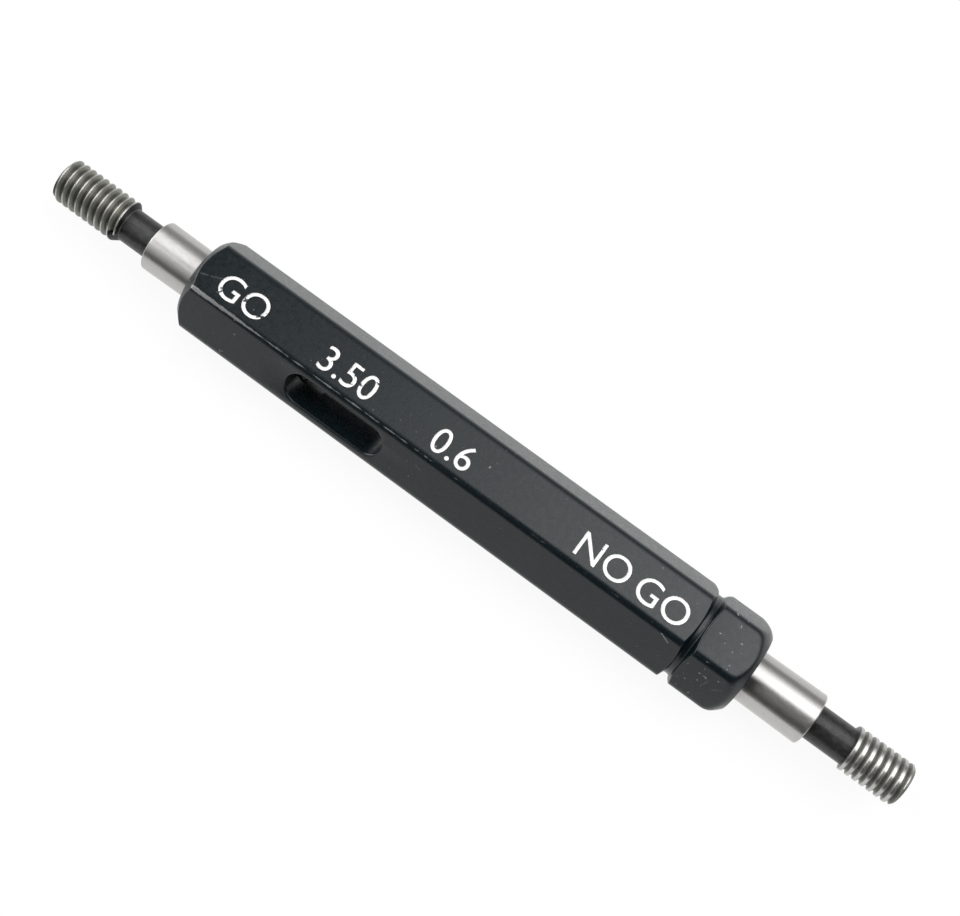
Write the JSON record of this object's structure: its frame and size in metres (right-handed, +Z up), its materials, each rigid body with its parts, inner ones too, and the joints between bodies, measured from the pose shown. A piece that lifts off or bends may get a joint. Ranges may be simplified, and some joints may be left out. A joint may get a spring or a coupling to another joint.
{
  "type": "thread plug gauge",
  "caption": "Double-ended thread plug gauge: black hexagonal handle with a GO and a NO-GO screw-thread member, each on a ground taper shank.",
  "frame": {"origin": "middle of the handle flat that the gauge rests on", "axes": "+X along the gauge from the GO end to the NO-GO end, +Z up out of the marked flat, -Y towards the flat with the drift slot"},
  "size_m": [0.074, 0.0078, 0.007],
  "materials": {
    "blackened_steel": "matt black oxide on steel, worn at the edges",
    "gauge_steel": "ground hardened steel, satin, necks left black"
  },
  "bodies": {
    "root": {"handle": "blackened_steel", "go_member": "gauge_steel", "no_go_member": "gauge_steel"}
  },
  "joints": []
}
